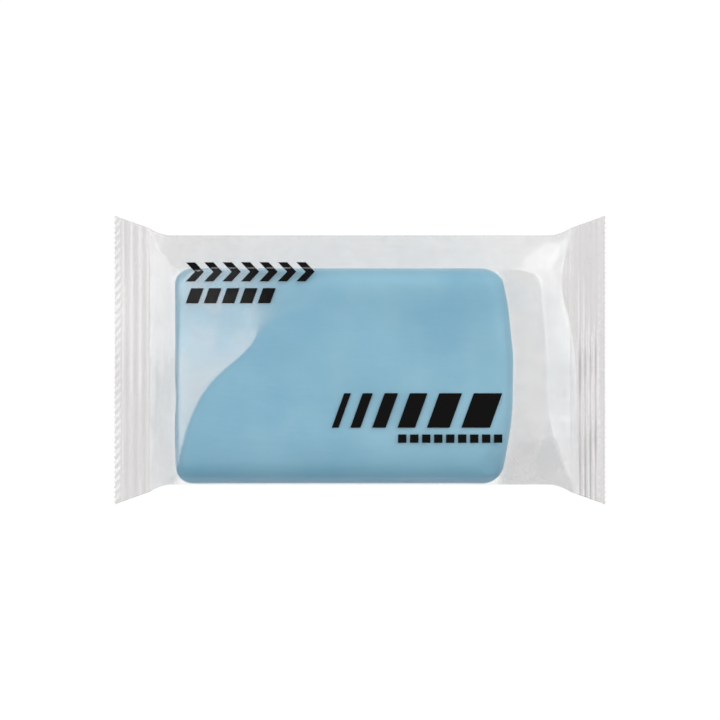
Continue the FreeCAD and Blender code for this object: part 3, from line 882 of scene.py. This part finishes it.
class BackFin(bpy.types.Operator):
    """Builds the two plies of the fin seal, folded flat along the back"""

    bl_idname = "packet.back_fin"
    bl_label = "Back fin"

    def execute(self, context):
        film = settings("film")
        made = welded_film()
        # ply, and how far under the back film it lies
        for part, drop in (("inner", 0.05 * MM), ("outer", 0.15 * MM)):
            along = spread(-ROOT, ROOT, lambda place: 0.6 * MM)
            x, y = np.meshgrid(along, np.linspace(-FIN_WIDTH, 0, 25), indexing="ij")
            # Its outer face comes down to the floor and no further.
            z = MID - np.minimum(back_depth(x, y) + drop, MID - film.gauge)
            z -= film.gauge * (MID - z) / MID
            piece = sheet_piece(f"back_fin_{part}_film", x, y, z, {}, film.gauge, -1)
            finished(piece, made, "wrapper", [f"back_fin_{part}_ply"])
        return {"FINISHED"}


class Artwork(bpy.types.Operator):
    """Drapes the printed shapes over the front film"""

    bl_idname = "packet.artwork"
    bl_label = "Artwork"

    def execute(self, context):
        artwork = settings("artwork")
        made = printing_ink()
        # How far under the highest point a vertex still belongs to the ink's top, and how much of
        # the ink's height over the film is ink. The rest is a gap that keeps the two faces apart.
        top_within, inked = 0.005 * MM, 0.6
        for name, source in (("title_ink", "front_title_print"), ("mark_ink", "front_mark_print")):
            piece = copy_of_node(name, source)
            low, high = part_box(source)
            bpy.ops.object.mode_set(mode="EDIT")
            # Each flat shape is cut into cells, so that it can bend with the film.
            bpy.ops.mesh.select_all(action="SELECT")
            bpy.ops.mesh.dissolve_limited(angle_limit=math.radians(1))
            for axis, normal in ((0, (1, 0, 0)), (1, (0, 1, 0))):
                for place in np.arange(low[axis] + artwork.drape / 2, high[axis], artwork.drape):
                    point = [0, 0, 0]
                    point[axis] = place
                    bpy.ops.mesh.select_all(action="SELECT")
                    bpy.ops.mesh.bisect(plane_co=point, plane_no=normal)
            bpy.ops.object.mode_set(mode="OBJECT")
            places = vertices(piece)
            top = places[:, 2] > high.z - top_within
            places[:, 2] = MID + front_height(places[:, 0], places[:, 1]) + artwork.thickness
            places[~top, 2] -= inked * artwork.thickness
            move_vertices(piece, places)
            piece.data.shade_flat()
            finished(piece, made, "wrapper", [source])
        return {"FINISHED"}


class Stage(bpy.types.Operator):
    """Adds the floor, the lights and the camera"""

    bl_idname = "packet.stage"
    bl_label = "Stage"

    def execute(self, context):
        stage = settings("stage")
        deselect()
        just_under = (0, 0, -0.02 * MM)
        bpy.ops.mesh.primitive_plane_add(size=stage.floor_size, location=just_under)
        floor = context.object
        floor.name = "floor"
        floor.data.materials.append(white_sweep())

        world = bpy.data.worlds.new("studio")
        context.scene.world = world
        world.use_nodes = True
        background = world.node_tree.nodes["Background"]
        background.inputs["Color"].default_value = (1, 1, 1, 1)
        background.inputs["Strength"].default_value = 0.42

        # name, size, distance, degrees off the vertical, degrees round from +X, watts
        for name, size, distance, off, round_x, watts in (
            ("patch_softbox", 0.34, 0.8, 24, 155, 1.2),
            ("large_softbox", 2.4, 1.8, 67, 38, 36.0),
            ("left_fill", 1.0, 1.4, 62, 180, 7.0),
        ):
            lamp = bpy.data.lights.new(name, "AREA")
            lamp.size = size
            lamp.energy = watts
            lamp.shape = "SQUARE"
            light = bpy.data.objects.new(name, lamp)
            tilt, turn = math.radians(off), math.radians(round_x)
            light.location = (
                distance * math.sin(tilt) * math.cos(turn),
                distance * math.sin(tilt) * math.sin(turn),
                distance * math.cos(tilt),
            )
            light.rotation_euler = (0, tilt, turn)
            context.scene.collection.objects.link(light)

        camera = bpy.data.objects.new("camera", bpy.data.cameras.new("camera"))
        camera.data.lens = stage.lens
        distance = stage.view_width * stage.lens / camera.data.sensor_width
        camera.location = (0, 0, MID + distance)
        camera.data.clip_start = 0.01
        context.scene.collection.objects.link(camera)
        context.scene.camera = camera
        context.scene.view_settings.view_transform = "Standard"
        context.scene.cycles.transparent_max_bounces = 48
        return {"FINISHED"}


class PacketPanel(bpy.types.Panel):
    """Lists the packet's operators and settings"""

    bl_label = "Clay bar packet"
    bl_idname = "VIEW3D_PT_packet"
    bl_space_type = "VIEW_3D"
    bl_region_type = "UI"
    bl_category = "Packet"

    def draw(self, context):
        for operator in OPERATORS:
            self.layout.operator(operator.bl_idname)
        for name, group in SETTINGS.items():
            box = self.layout.box()
            box.label(text=name.title())
            for key in group.__annotations__:
                box.prop(settings(name), key)


OPERATORS = (Stage, ClayBlock, FilmTube, EndSeals, BackFin, Artwork)


def register():
    for name, group in SETTINGS.items():
        bpy.utils.register_class(group)
        setattr(bpy.types.Scene, f"packet_{name}", PointerProperty(type=group))
    for kind in (*OPERATORS, PacketPanel):
        bpy.utils.register_class(kind)


def unregister():
    for kind in (PacketPanel, *reversed(OPERATORS)):
        bpy.utils.unregister_class(kind)
    for name, group in reversed(SETTINGS.items()):
        delattr(bpy.types.Scene, f"packet_{name}")
        bpy.utils.unregister_class(group)


def main():
    register()
    bpy.ops.packet.stage()
    bpy.ops.packet.clay_block()
    bpy.ops.packet.film_tube()
    bpy.ops.packet.end_seals()
    bpy.ops.packet.back_fin()
    bpy.ops.packet.artwork()


if __name__ == "__main__":
    main()
